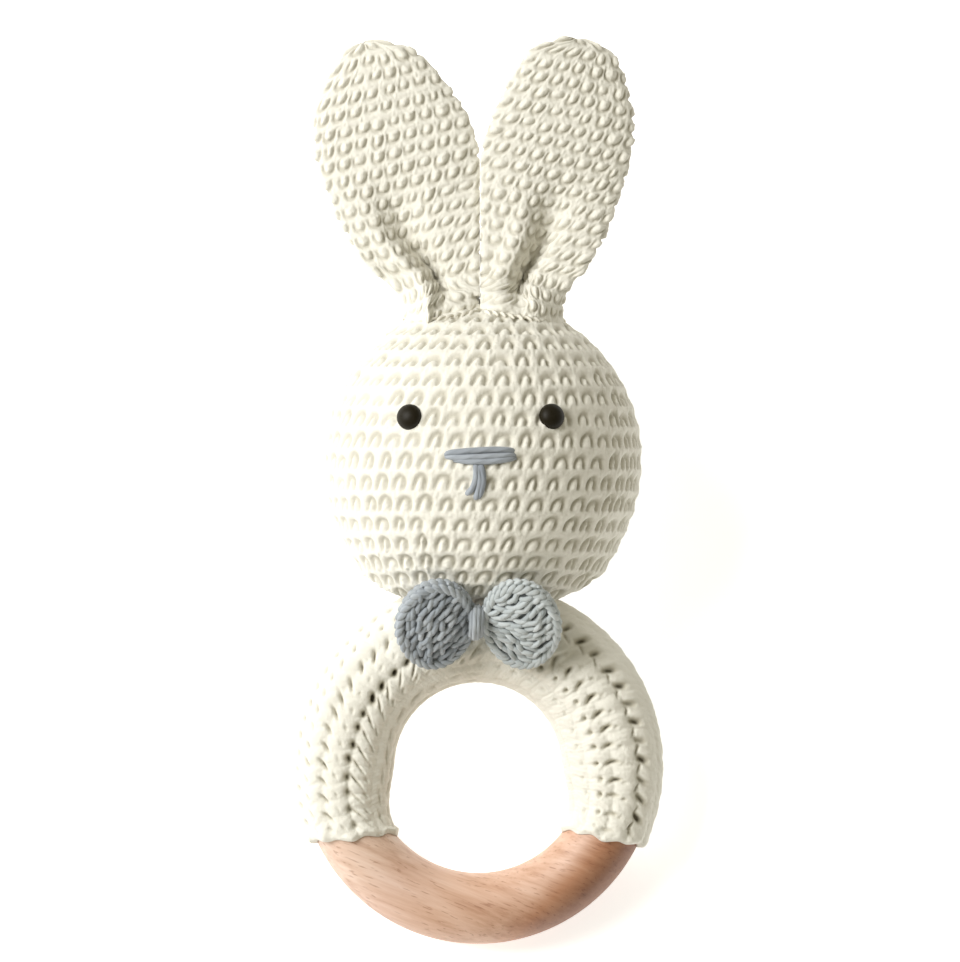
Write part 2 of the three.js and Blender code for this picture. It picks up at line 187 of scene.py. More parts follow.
PLIES = 3.0
PLY_LAY = 3.4  # length of yarn in which its plies wind round once
TIP = 0.6  # how far a rounded end stands out, as a share of the radius there


class Yarn:
    """Many short lengths of plied yarn that become one mesh."""

    def __init__(self, sides=7):
        self.sides = sides
        self.points, self.faces, self.uvs, self.tones = [], [], [], []
        self.start = 0

    def lay(self, paths, normals, radius, tone=0.5, spread=0.12, blunt=0.55, flat=1.0):
        """Yarn along every path, a (tubes, steps, 3) array. normals say which way its top faces.

        tone and spread set how light it is, blunt is the share of the radius left at its
        rounded ends, and flat how high it stands compared with how wide it is.
        """
        tubes, steps, sides = paths.shape[0], paths.shape[1], self.sides
        tangents = unit(np.gradient(paths, axis=1))
        across = unit(np.cross(tangents, normals))
        above = np.cross(across, tangents)
        lengths = np.linalg.norm(np.diff(paths, axis=1), axis=2)
        run = np.concatenate([np.zeros((tubes, 1)), np.cumsum(lengths, axis=1)], axis=1)
        place = np.linspace(-1, 1, steps)
        radius = np.broadcast_to(np.asarray(radius, float), (tubes,))
        taper = blunt + (1 - blunt) * np.sqrt(1 - np.abs(place) ** 4)
        reach = (radius[:, None] * taper[None, :])[:, :, None, None]
        angle = round_turn(sides)
        sideways = np.cos(angle)[:, None] * across[:, :, None, :]
        upwards = flat * np.sin(angle)[:, None] * above[:, :, None, :]
        ring = paths[:, :, None, :] + reach * (sideways + upwards)
        tip = (radius * blunt * TIP)[:, None]
        first, last = paths[:, 0] - tangents[:, 0] * tip, paths[:, -1] + tangents[:, -1] * tip
        poles = np.stack([first, last], axis=1)
        tube = np.concatenate([ring.reshape(tubes, -1, 3), poles], axis=1)
        self.points.append(tube.reshape(-1, 3))
        each = steps * sides + 2
        shade = np.clip(rng.normal(tone, spread, tubes), 0, 1)
        self.tones.append(np.repeat(shade, each))
        self._faces(tubes, steps, each, run / PLY_LAY)

    def _faces(self, tubes, steps, each, turns):
        sides = self.sides
        j = np.arange(sides)
        k = (j + 1) % sides
        r = np.arange(steps - 1)[:, None] * sides
        quads = np.stack([r + j, r + k, r + sides + k, r + sides + j], axis=-1).reshape(-1, 4)
        end = (steps - 1) * sides
        first = np.stack([np.full(sides, each - 2), k, j], axis=-1)
        last = np.stack([np.full(sides, each - 1), end + j, end + k], axis=-1)
        offsets = (self.start + np.arange(tubes) * each)[:, None, None]
        for quad, tri in zip(quads + offsets, np.concatenate([first, last]) + offsets):
            self.faces += quad.tolist() + tri.tolist()
        rows = np.arange(steps - 1)[:, None, None]
        u = np.stack([j, j + 1, j + 1, j], axis=-1)[None] / sides + 0 * rows
        v = rows + np.array([0, 0, 1, 1]) + 0 * u
        cap_u = np.stack([j + 0.5, j + 1, j], axis=-1) / sides
        tail_u = np.stack([j + 0.5, j, j + 1], axis=-1) / sides
        flat_u = np.concatenate([u.ravel(), cap_u.ravel(), tail_u.ravel()])
        flat_v = np.concatenate([v.ravel(), np.repeat([0, steps - 1], 3 * sides)]).astype(int)
        uv = np.stack([np.broadcast_to(flat_u, (tubes, len(flat_u))), turns[:, flat_v]], axis=-1)
        self.uvs.append(uv.reshape(-1, 2))
        self.start += tubes * each

    def make(self, name, material):
        points, uvs, tones = map(np.concatenate, (self.points, self.uvs, self.tones))
        return build(name, points, self.faces, material, uvs, tones)


# ---- surfaces that carry stitches


class Skin:
    """A tube-like surface sampled in rows, each a closed loop, with its outward normals."""

    def __init__(self, grid):
        self.grid = grid
        along = np.roll(grid, -1, axis=1) - np.roll(grid, 1, axis=1)
        normal = unit(np.cross(along, np.gradient(grid, axis=0)))
        outward = np.sum(normal * (grid - grid.mean(axis=1, keepdims=True)))
        self.normal = normal * np.sign(outward)

    def row_length(self, v):
        """The way round the loop at v, which runs from 0 to 1 over the rows."""
        rows, columns = self.grid.shape[:2]
        y = v * (rows - 1)
        r = min(int(y), rows - 2)
        x = (np.linspace(0, 1, 200) % 1.0) * columns
        c = x.astype(int)
        f = (x - np.floor(x))[:, None]
        low, high = (row[c] * (1 - f) + row[(c + 1) % columns] * f for row in self.grid[r:r + 2])
        points = low * (1 - (y - r)) + high * (y - r)
        return np.linalg.norm(np.diff(points, axis=0), axis=1).sum()


HAND_SHIFT = 0.17  # how unevenly hands place the stitches, in millimetres
HAND_SIZE = 0.15  # and how unevenly they size them
BAND_PLACE = 0.86  # where in its row a band runs
TWIST_HEIGHT = 0.07  # relief of the plies of the yarn


class Stitches:
    """Single crochet in rounds, as a relief over a skin.

    Each stitch is a loop inside an arched groove, and a band runs along the top of every row.
    Sizes are in millimetres: the groove's half span, rise, start in the row, width and depth,
    then the loop's half width and height, and the band's height. shade is how dark the painted
    shade in a groove gets.
    """

    def __init__(self, rows, pitch, shift, lean, groove, loop, band, shade):
        self.rows, self.pitch, self.shift, self.lean = rows, pitch, shift, lean
        self.groove, self.loop, self.band, self.shade = groove, loop, band, shade

    def relief(self, lengths, row_height, u, v):
        """Height over the skin, and tone, with painted shade in the grooves, at the joins between
        stitches and between the plies. u runs from 0 to 1 round the rows, v over them.
        """
        count = np.maximum(5, np.round(lengths / self.pitch)).astype(int)
        start = self.shift * np.arange(self.rows) * self.pitch / lengths
        row = np.clip((v * self.rows).astype(int), 0, self.rows - 1)
        y = v * self.rows - row
        place = (u - start[row]) * count[row] - self.lean * (y - 0.4)
        stitch = np.floor(place).astype(int) % count[row]
        x = place - np.floor(place) - 0.5
        moved = rng.normal(0, HAND_SHIFT, (self.rows, count.max(), 2))[row, stitch]
        sized = rng.normal(1, HAND_SIZE, (self.rows, count.max(), 2))[row, stitch]
        across = x * (lengths / count)[row] - moved[..., 0]

        span, rise, foot, width, depth = self.groove
        up = y * row_height - moved[..., 1] - foot
        span, rise = span * sized[..., 0], rise * sized[..., 1]
        ring = np.maximum(np.hypot(across / span, up / rise), 1e-6)
        off = (ring - 1) * np.hypot(across, up) / ring
        wide = width * (0.75 + 0.55 * smoothstep(0, rise, up))
        cut = np.exp(-((off / wide) ** 2)) * smoothstep(-rise, 0.1 * rise, up)
        half, high = self.loop
        loop = np.exp(-((across / half) ** 2)) * np.exp(-((up / (0.75 * rise)) ** 4))
        wave = 0.5 + 0.5 * np.cos(2 * np.pi * (y - BAND_PLACE + 0.06 * np.cos(2 * np.pi * x)))
        post = np.sin(np.pi * x) ** 2 * (1 - wave)
        join = np.exp(-(((np.abs(x - 0.22) - 0.5) / 0.07) ** 2))
        join = join + np.exp(-(((np.abs(x) - 0.5) / 0.06) ** 2))
        twist = np.abs(np.sin(np.pi * (2.6 * place + 2.2 * y)))
        height = self.band * wave * (1 - 0.35 * join) + high * loop + 0.5 * self.band * post
        height = height * sized[..., 1] - depth * cut + TWIST_HEIGHT * twist
        # painted shade: the tone is darker in the grooves, at the joins between stitches and
        # between the plies
        dark = self.shade * np.clip(cut * sized[..., 1], 0, 1)
        return height, 1 - dark - 0.1 * join * wave - 0.08 * (1 - twist)


def worked_surface(skin, stitches):
    """Points and tone of a skin with its stitches standing on it."""
    middles = (np.arange(stitches.rows) + 0.5) / stitches.rows
    lengths = np.array([max(skin.row_length(v), stitches.pitch) for v in middles])
    front = np.linalg.norm(np.diff(skin.grid[:, 0], axis=0), axis=1).sum()
    rows, columns = skin.grid.shape[:2]
    v, u = np.meshgrid(np.linspace(0, 1, rows), np.arange(columns) / columns, indexing="ij")
    height, tone = stitches.relief(lengths, front / stitches.rows, u, v)
    return (skin.grid + height[..., None] * skin.normal).reshape(-1, 3), tone.ravel()


def evenly_round(grid):
    """Every row's points moved along it until they are the same distance apart."""
    moved = np.empty_like(grid)
    for row, points in enumerate(grid):
        loop = np.concatenate([points, points[:1]])
        run = np.concatenate([[0], np.cumsum(np.linalg.norm(np.diff(loop, axis=0), axis=1))])
        wanted = run[-1] * np.arange(len(points)) / len(points)
        moved[row] = xyz(*(np.interp(wanted, run, values) for values in loop.T))
    return moved


# ---- materials


class Nodes:
    """A short way to write a node material."""

    def __init__(self, name):
        self.material = bpy.data.materials.new(name)
        self.material.use_nodes = True
        self.tree = self.material.node_tree
        self.shader = self.tree.nodes["Principled BSDF"]

    def add(self, kind, inputs=None, **settings):
        node = self.tree.nodes.new(kind)
        for key, value in settings.items():
            setattr(node, key, value)
        for key, value in (inputs or {}).items():
            self.set(node, key, value)
        return node

    def set(self, node, key, value):
        if isinstance(value, bpy.types.NodeSocket):
            self.tree.links.new(value, node.inputs[key])
        else:
            node.inputs[key].default_value = value

    def surface(self, **inputs):
        for key, value in inputs.items():
            self.set(self.shader, key.replace("_", " "), value)

    def ramp(self, value, stops):
        node = self.add("ShaderNodeValToRGB", {"Fac": value})
        elements = node.color_ramp.elements
        while len(elements) < len(stops):
            elements.new(0.5)
        for element, (position, colour) in zip(elements, stops):
            element.position = position
            element.color = (*colour, 1)
        return node.outputs["Color"]

    def noise(self, vector, scale, detail=3.0, roughness=0.55):
        inputs = {"Vector": vector, "Scale": scale, "Detail": detail, "Roughness": roughness}
        return self.add("ShaderNodeTexNoise", inputs).outputs["Fac"]

    def maths(self, operation, *values):
        node = self.add("ShaderNodeMath", operation=operation)
        for i, value in enumerate(values):
            self.set(node, i, value)
        return node.outputs[0]

    def sum(self, *weighted):
        """Sum of (value, weight) pairs."""
        total = self.maths("MULTIPLY", *weighted[0])
        for pair in weighted[1:]:
            total = self.maths("MULTIPLY_ADD", *pair, total)
        return total

    def stretched(self, scale=(1, 1, 1), rotation=(0, 0, 0)):
        """Object coordinates, turned and then scaled."""
        coordinates = self.add("ShaderNodeTexCoord").outputs["Object"]
        turned = self.add("ShaderNodeMapping", {"Vector": coordinates, "Rotation": rotation})
        scaled = {"Vector": turned.outputs["Vector"], "Scale": scale}
        return self.add("ShaderNodeMapping", scaled).outputs["Vector"]

    def bump(self, height, strength, distance, normal=None):
        inputs = {"Height": height, "Strength": strength, "Distance": distance}
        node = self.add("ShaderNodeBump", inputs)
        if normal is not None:
            self.set(node, "Normal", normal)
        return node.outputs["Normal"]


def cotton(name, drift, fibres, sheen):
    """Nodes for cotton, and its place, its tone, its colour's drift and its fibres."""
    n = Nodes(name)
    here = n.stretched()
    tone = n.add("ShaderNodeAttribute", attribute_name="tone").outputs["Fac"]
    n.surface(Roughness=0.92, Sheen_Weight=sheen, Sheen_Roughness=0.45, Specular_IOR_Level=0.2)
    return n, here, tone, n.noise(here, drift, 2.0), n.noise(here, fibres, 4.0, 0.7)


def yarn_material(name, dark, middle, light, sheen):
    """Soft cotton yarn: plies wind round it, fine fibres stand on it, its colour drifts, and
    painted shade darkens it between its plies.
    """
    n, _, tone, drift, fibres = cotton(name, 260.0, 4200.0, sheen)
    yarn = n.add("ShaderNodeUVMap", uv_map="yarn").outputs["UV"]
    lay = n.add("ShaderNodeSeparateXYZ", {"Vector": yarn})
    wind = n.maths("SUBTRACT", n.maths("MULTIPLY", lay.outputs["X"], PLIES), lay.outputs["Y"])
    ply = n.maths("ABSOLUTE", n.maths("SINE", n.maths("MULTIPLY", wind, math.pi)))
    # painted shade: the colour is darker in the creases between the plies
    colour = n.ramp(
        n.sum((tone, 0.55), (drift, 0.2), (fibres, 0.15), (ply, 0.1)),
        [(0.15, dark), (0.5, middle), (0.85, light)],
    )
    wound = n.bump(ply, 0.35, 0.0002)
    n.surface(Base_Color=colour, Normal=n.bump(fibres, 0.45, 0.00015, wound))
    return n.material


def worked_material(name, hole, crease, light):
    """Close crochet as one surface: fuzzy, with painted shade that makes it darker in its creases
    and darkest in its holes.
    """
    n, here, tone, drift, fibres = cotton(name, 300.0, 3600.0, 0.3)
    colour = n.ramp(
        n.sum((tone, 0.84), (drift, 0.08), (fibres, 0.08)),
        [(0.12, hole), (0.5, crease), (0.86, light)],
    )
    fuzz = n.bump(n.noise(here, 1500.0, 3.0, 0.6), 0.5, 0.0004)
    n.surface(Base_Color=colour, Normal=n.bump(fibres, 0.5, 0.0002, fuzz))
    return n.material


# How the ring's colour changes across it, from a painted highlight at its upper left to painted
# shade along its lower right edge: place and factor.
WOOD_PAINTED_LIGHT = [
    (0.05, (1.12, 1.30, 1.50)), (0.25, (1.06, 1.15, 1.30)), (0.5, (1.03, 1.06, 1.12)),
    (0.76, (1.0, 1.0, 1.04)), (0.84, (0.76, 0.60, 0.50)), (0.94, (0.42, 0.27, 0.18)),
]
WOOD_COLOURS = [
    (0.35, (0.50, 0.270, 0.165)), (0.5, (0.645, 0.395, 0.268)), (0.65, (0.73, 0.485, 0.355)),
]
WOOD_GRAIN_TILT = (0, 0, math.radians(22))


def wood_material():
    """Sanded beech: straight grain and short flecks, with a painted highlight at its upper left
    and painted shade along its lower right edge.
    """
    n = Nodes("beech")

    def grain(scale, detail, roughness):
        return n.noise(n.stretched(scale, WOOD_GRAIN_TILT), 1.0, detail, roughness)

    def multiplied(share, below, above):
        inputs = {0: share, 6: below, 7: above}
        mix = n.add("ShaderNodeMix", inputs, data_type="RGBA", blend_type="MULTIPLY")
        return mix.outputs[2]

    growth = grain((30, 330, 210), 3.0, 0.55)
    fine = grain((60, 1100, 700), 4.0, 0.65)
    flecks = grain((260, 2300, 1700), 2.0, 0.5)
    base = n.ramp(n.sum((growth, 0.5), (fine, 0.5)), WOOD_COLOURS)
    marks = n.ramp(flecks, [(0.31, (0.60, 0.47, 0.40)), (0.38, (1, 1, 1))])
    # painted light: the colour is multiplied paler towards the upper left and darker towards the
    # lower right edge
    edge = (AXES[0] - AXES[1]) / math.sqrt(2)
    inputs = {0: n.stretched(), 1: edge.tolist()}
    towards = n.add("ShaderNodeVectorMath", inputs, operation="DOT_PRODUCT").outputs["Value"]
    place = n.maths("MULTIPLY_ADD", towards, 25.0, 0.125 - 25.0 * float(ORIGIN @ edge))
    colour = multiplied(1.0, multiplied(0.65, base, marks), n.ramp(place, WOOD_PAINTED_LIGHT))
    n.surface(Base_Color=colour, Roughness=0.5, Coat_Weight=0.35, Coat_Roughness=0.5)
    n.surface(Normal=n.bump(fine, 0.3, 0.0001))
    return n.material


def plain_material(name, noise, stops, bump=None, scale=(1, 1, 1), **surface):
    """A material whose colour, and its fine relief, follow one noise."""
    n = Nodes(name)
    grain = n.noise(n.stretched(scale), *noise)
    n.surface(Base_Color=n.ramp(grain, stops), **surface)
    if bump:
        n.surface(Normal=n.bump(grain, *bump))
    return n.material


def plastic_material(name, colour, roughness):
    lift = tuple(min(1.0, c * 1.12 + 0.004) for c in colour)
    return plain_material(
        name, (900.0, 3.0), [(0.3, colour), (0.7, lift)], (0.1, 0.0001),
        Roughness=roughness, Specular_IOR_Level=0.2,
    )


# The bow's two lobes are one blue yarn: the left lobe's copy is darker, as painted shade, and the
# right lobe's is lighter, as painted light.
YARNS = {
    "cream_yarn": ((0.68, 0.64, 0.54), (0.83, 0.80, 0.71), (0.91, 0.89, 0.82), 0.3),
    "blue_yarn_left_shaded": ((0.22, 0.25, 0.285), (0.36, 0.395, 0.435), (0.51, 0.545, 0.58), 0.25),
    "blue_yarn_right_lit": ((0.33, 0.37, 0.385), (0.49, 0.53, 0.545), (0.63, 0.665, 0.68), 0.25),
    "blue_yarn_nose": ((0.19, 0.215, 0.255), (0.31, 0.34, 0.385), (0.43, 0.465, 0.515), 0.2),
    "blue_yarn_knot": ((0.22, 0.25, 0.28), (0.36, 0.39, 0.42), (0.50, 0.53, 0.56), 0.2),
}
CREAM, BLUE_LEFT_SHADED, BLUE_RIGHT_LIT, BLUE_NOSE, BLUE_KNOT = (
    yarn_material(name, *look) for name, look in YARNS.items()
)
# The lining inside the bow's lobes: a darker blue, painted shade seen between the strands.
BLUE_INSIDE_SHADE = plain_material(
    "blue_inside_shade", (1500.0, 5.0, 0.7), [(0, (0.173, 0.190, 0.210)), (1, (0.284, 0.310, 0.337))],
    (0.8, 0.0004), Roughness=1.0, Specular_IOR_Level=0.1,
)
# The hole and crease colours of both worked materials are painted shade, shown where the relief's
# tone falls in its marks, grooves and creases.
CREAM_SLEEVE = worked_material(
    "cream_sleeve", (0.11, 0.098, 0.065), (0.60, 0.57, 0.48), (0.88, 0.86, 0.785)
)
CREAM_WORKED = worked_material(
    "cream_fabric", (0.60, 0.575, 0.49), (0.74, 0.715, 0.635), (0.87, 0.85, 0.775)
)
BEECH = wood_material()
EYE_BLACK = plastic_material("eye_black", (0.009, 0.006, 0.0008), 0.5)
CAPSULE = plastic_material("capsule_clear", (0.75, 0.77, 0.78), 0.35)
WASHER = plastic_material("washer_white", (0.80, 0.80, 0.78), 0.45)
STEEL = plain_material(
    "bead_steel", (1.0, 4.0), [(0.3, (0.50, 0.51, 0.52)), (0.7, (0.68, 0.69, 0.70))],
    scale=(200, 200, 2000), Metallic=1.0, Roughness=0.22,
)
FIBREFILL = plain_material(
    "fibrefill", (700.0, 6.0, 0.7), [(0.3, (0.72, 0.72, 0.70)), (0.7, (0.90, 0.90, 0.88))],
    (0.8, 0.0008), Roughness=1.0, Sheen_Weight=0.6,
)

# ---- wooden ring


def wooden_ring():
    """A plain turned torus, closed both ways."""
    around, sides = 256, 64
    turn, tube = round_turn(around)[:, None], round_turn(sides)
    radius = RING_RADIUS + WOOD_RADIUS * np.cos(tube)
    points = xyz(radius * np.cos(turn), radius * np.sin(turn), WOOD_RADIUS * np.sin(tube))
    index = np.arange(around * sides).reshape(around, sides)
    right, up = np.roll(index, -1, axis=0), np.roll(index, -1, axis=1)
    corner = np.roll(right, -1, axis=1)
    faces = np.stack([index, right, corner, up], axis=-1).reshape(-1, 4).tolist()
    made = build("ring_wood", points.reshape(-1, 3), faces, BEECH)
    stand_for(made, "ring", "wood_ring")


# ---- sleeve on the ring

SLEEVE_INSET = 0.85  # how far the stitches' ground lies inside the CAD sleeve
SLEEVE_WALL = 0.3  # what is left of it under the deepest mark
SLEEVE_STEPS = (430, 200)
SLEEVE_STITCHES = 34
SLEEVE_BAND = 33.0  # degrees round the tube from one band of stitches to the next
LINING_ROWS = 60
LINING_GAP = 0.05

# Lines of marks between the stitches of each half of the sleeve. For each line: the way it
# faces, in degrees from the front towards the outer edge, the marks' spacing and their start
# along it, then a mark's half length, half width, slant in degrees, curve and depth.
SLEEVE_MARKS = {
    "left": (
        (64, 3.5, 0.7, 0.8, 0.45, 40, 0, 0.7),
        (44, 3.5, 0.2, 0.8, 0.36, 48, 0, 0.8),
        (20, 3.45, 0.0, 1.20, 0.34, 54, 0, 1.25),
        (3, 3.40, 0.4, 0.55, 0.32, 25, 0, 0.4),
        (-12.5, 3.30, 0.3, 0.85, 0.60, 40, 0, 1.35),
        (-22, 3.30, -0.05, 1.70, 0.26, 52, 0, 0.75),
        (-36, 3.30, 0.1, 0.70, 0.34, 50, 0, 0.5),
        (-58, 4.60, 0.2, 1.90, 0.40, 10, 0, 0.35),
        (-76, 5.20, 0.6, 2.30, 0.40, -6, 0, 0.45),
    ),
    "right": (
        (35, 3.85, 0.3, 1.50, 0.58, 60, 0, 1.4),
        (27, 3.85, 0.9, 1.20, 0.30, -35, 0, 0.6),
        (9, 3.60, 0.1, 0.55, 0.34, 60, 0, 0.45),
        (-4.5, 3.40, 0.6, 1.45, 0.40, 98, -0.22, 1.0),
        (-22, 3.30, 0.1, 0.55, 0.50, 30, 0, 0.9),
        (-44, 3.40, 0.5, 0.60, 0.38, 0, 0, 0.4),
        (-66, 4.90, 0.3, 2.10, 0.45, 8, 0, 0.2),
    ),
    "back": (
        (92, 3.7, 0.2, 1.2, 0.5, 45, 0, 0.9),
        (128, 3.7, 0.7, 1.2, 0.6, 45, 0, 1.4),
        (164, 3.6, 0.1, 1.2, 0.4, -45, 0, 0.8),
        (198, 3.4, 0.5, 1.1, 0.6, 45, 0, 1.4),
        (228, 3.3, 0.0, 0.9, 0.4, 45, 0, 0.7),
    ),
}


def sleeve_grid(inset, lengthways, around):
    """Points of the sleeve's surface, in rows from its left end to its right, round the tube."""
    along = np.linspace(-1, 1, lengthways)[:, None]
    facing = np.radians(np.linspace(-90, 270, around, endpoint=False))[None, :]
    taper = smoothstep(SLEEVE_TAPER_START, 1, np.abs(along))
    hole = SLEEVE_HOLE + (SLEEVE_END_HOLE - SLEEVE_HOLE) * taper
    depth = SLEEVE_DEPTH + (SLEEVE_END_DEPTH - SLEEVE_DEPTH) * taper
    middle, half = (SLEEVE_OUTER + hole) / 2, (SLEEVE_OUTER - hole) / 2
    radius = middle + (half - inset) * np.sin(facing)
    # the hems slope a little outwards, and are not quite straight
    hem = -SLEEVE_END_Y + np.where(along < 0, 0.95, 1.7) * np.sin(facing)
    hem = hem + 0.26 * np.cos(9 * facing) + 0.2 * np.sin(4 * facing + 1.0)
    angle = along * (np.pi / 2 + np.arcsin(hem / radius))
    return xyz(radius * np.sin(angle), radius * np.cos(angle), (depth - inset) * np.cos(facing))


def mark_line(line, share, facing):
    """How deep one line's marks go at places a share of the way along the sleeve."""
    at, spacing, start, reach, wide, slant, curve, depth = line
    half, slant = (SLEEVE_OUTER - SLEEVE_HOLE) / 2, math.radians(slant)
    radius = (SLEEVE_OUTER + SLEEVE_HOLE) / 2 + half * math.sin(math.radians(at))
    length = radius * (math.pi + 2 * math.asin(-SLEEVE_END_Y / radius))
    tube = (half + SLEEVE_DEPTH) / 2
    count = int(length / spacing) + 4
    moved = rng.normal(0, 0.16, (count, 2))
    sized = rng.normal(1, 0.14, (count, 2))
    nearest = np.floor(share * length / spacing - start).astype(int) + 2
    total = np.zeros(np.broadcast_shapes(share.shape, facing.shape))
    across = ((facing - at + 180) % 360 - 180) * math.radians(1) * tube
    for step in (-1, 0, 1):
        k = np.clip(nearest + step, 0, count - 1)
        a = share * length - (k - 2 + start + 0.5) * spacing - moved[k, 0]
        b = across - moved[k, 1]
        x = a * math.cos(slant) + b * math.sin(slant)
        y = b * math.cos(slant) - a * math.sin(slant) - curve * x**2
        fall = np.abs(x / (reach * sized[k, 0])) ** 2.4 + (y / wide) ** 2
        total = np.maximum(total, depth * sized[k, 1] * np.exp(-fall))
    return total


def sleeve_relief(share, facing):
    """Over the sleeve: the stitches' height, how deep its marks are, and the painted shade between
    its plies.
    """
    left = 1 - smoothstep(0.47, 0.53, share)
    # the stitches stand out in front and at the back, and lie flatter round the edges
    worked = smoothstep(-62, -30, facing) * (1 - smoothstep(40, 62, facing))
    worked = worked + smoothstep(80, 110, facing) * (1 - smoothstep(215, 240, facing))
    worked = np.maximum(worked, 0.42)
    swing = np.where(share < 0.5, 1.0, -1.0) * (facing - 4) / SLEEVE_BAND
    ridge = np.abs(np.cos(np.pi * (share * SLEEVE_STITCHES + 0.5 * swing))) ** 0.8
    shifted = facing + 12.5 * left + 4.5 * (1 - left)
    bands = np.abs(np.cos(np.pi * shifted / SLEEVE_BAND + np.pi / 2)) ** 0.7
    height = worked * (0.42 * ridge * bands + 0.25 * bands)
    # fine strands run across the bands, and fade on the inner side, where the fabric bulges
    wave = 0.35 * np.sin(share * 61.0 + 1.3) + 0.3 * np.sin(share * 143.0 + facing / 17.0)
    wale = np.abs(np.sin(np.pi * (share * SLEEVE_STITCHES * 2.5 + swing * 2.4 + wave)))
    inner = 1 - smoothstep(-75, -40, facing) + smoothstep(225, 255, facing)
    wale = wale * (1 - 0.7 * inner)
    height = height + 0.12 * wale + 0.6 * inner + 0.2 * (1 - worked) * (1 - inner)
    depth = np.zeros_like(height)
    for side, weight in (("left", left), ("right", 1 - left), ("back", 1.0)):
        for line in SLEEVE_MARKS[side]:
            depth = np.maximum(depth, mark_line(line, share, facing) * weight)
    # the hems are rolled in, with a small bead of stitches on the edge and no marks
    ends = np.minimum(share, 1 - share) * 120
    bead = 0.6 + 0.4 * np.cos(np.radians(facing) * 20)
    roll = np.clip(1 - ends / 1.1, 0, 1)
    height = height + 0.35 * np.exp(-((ends - 0.9) ** 2)) * bead
    height = height - 1.1 * (1 - np.sqrt(1 - roll**2))
    # the last is painted shade, darker between the strands
    return height, depth * smoothstep(1.2, 3.4, ends), 0.12 * (1 - wale)


def sleeve():
    """The crocheted surface and the lining on the wood, joined at the two hems."""
    lengthways, around = SLEEVE_STEPS
    skin = Skin(sleeve_grid(SLEEVE_INSET, lengthways, around))
    share = np.linspace(0, 1, lengthways)[:, None]
    facing = np.linspace(-90, 270, around, endpoint=False)[None, :]
    height, depth, plies = sleeve_relief(share, facing)
    off_ring = np.hypot(skin.grid[..., 0], skin.grid[..., 1]) - RING_RADIUS
    room = np.hypot(off_ring, skin.grid[..., 2]) - WOOD_RADIUS - SLEEVE_WALL
    outer = skin.grid + np.maximum(height - depth, -room)[..., None] * skin.normal
    over = skin.grid[np.linspace(0, lengthways - 1, LINING_ROWS).astype(int)]
    core = RING_RADIUS * unit(over * [1, 1, 0])
    inner = core + unit(over - core) * (WOOD_RADIUS + LINING_GAP)

    points = np.concatenate([outer.reshape(-1, 3), inner.reshape(-1, 3)])
    first = lengthways * around
    faces = tube_faces(lengthways, around)
    lining = tube_faces(LINING_ROWS, around)
    faces += [tuple(i + first for i in face[::-1]) for face in lining]
    for above, below in ((0, first), (first - around, len(points) - around)):
        for c in range(around):
            d = (c + 1) % around
            rim = (above + c, above + d, below + d, below + c)
            faces.append(rim if above else rim[::-1])
    # painted shade: the colour is darker with the depth of the marks and between the plies
    tone = 1 - np.clip(depth / 1.5 + plies, 0, 1)
    tone = np.concatenate([tone.ravel(), np.full(LINING_ROWS * around, 0.6)])
    made = build("sleeve_crochet", points, faces, CREAM_SLEEVE, tone=tone)
    stand_for(made, "sleeve", "ring_sleeve")


def sleeve_seam():
    """Whip stitches that close the sleeve along the inside of the ring."""
    angle = np.radians(np.linspace(-88, 88, 41))
    path = (SLEEVE_HOLE + 1.3) * xyz(np.sin(angle), np.cos(angle), 0)
    inward = -unit(path)
    side = np.array([0.0, 0.0, 1.5])
    whips = []
    for i in range(1, 40, 2):
        slope = side + unit(path[i + 1] - path[i - 1]) * 0.9
        low = path[i] - inward[i] * 0.5
        whips.append(curve_through([low - slope, path[i] + inward[i] * 0.12, low + slope], 7))
    yarn = Yarn(sides=8)
    yarn.lay(np.array(whips), inward[1:40:2, None], 0.42)
    made = yarn.make("sleeve_seam_stitches", CREAM)
    stand_for(made, "sleeve", "sleeve_seam")


# ---- head

HEAD_INSET = 0.5  # how far the stitches' ground lies inside the CAD head
HEAD_FULLNESS = 2.4  # what its sides stand out low down, where it sits on the sleeve
HEAD_STEPS = (280, 640)
HEAD_STITCHES = Stitches(
    rows=23, pitch=4.5, shift=-0.33, lean=-0.28,
    groove=(1.12, 1.80, 0.70, 0.52, 0.64), loop=(0.55, 0.30), band=0.42, shade=0.9,
)
TROUGH_RADIUS = 10.9  # of the hollow that lets the head nod over the sleeve


def head_skin():
    """Rows from the neck up to the crown, round the head's upright axis."""
    rise = np.radians(np.linspace(-89.5, 89.5, HEAD_STEPS[0]))[:, None]
    turn = round_turn(HEAD_STEPS[1])
    outward = xyz(np.cos(rise) * np.sin(turn), np.sin(rise), np.cos(rise) * -np.cos(turn))
    fuller = HEAD_FULLNESS * np.exp(-(((np.degrees(rise) + 58) / 20) ** 2)) * np.sin(turn) ** 4
    radius = HEAD_RADIUS - HEAD_INSET + fuller
    return Skin(HEAD_CENTRE + radius[..., None] * outward)


def clear_of_sleeve(points):
    """Pushes what would sink into the sleeve out to the trough that the head nods in."""
    axis = np.array([NOD_Y, 0.0])
    off = points[..., 1:] - axis
    distance = np.linalg.norm(off, axis=-1, keepdims=True)
    grown = off * np.maximum(1.0, TROUGH_RADIUS / np.maximum(distance, 1e-6))
    return np.concatenate([points[..., :1], axis + grown], axis=-1)


def head():
    points, tone = worked_surface(head_skin(), HEAD_STITCHES)
    points = clear_of_sleeve(points)
    made = build("head_crochet", points, closed_faces(*HEAD_STEPS), CREAM_WORKED, tone=tone)
    stand_for(made, "head", "head_cover")


# ---- ears

EAR_THICKNESS = 6.4
EAR_INSET = 0.7
EAR_STEPS = (230, 300)
EAR_ROW = 3.05  # height of a row of stitches

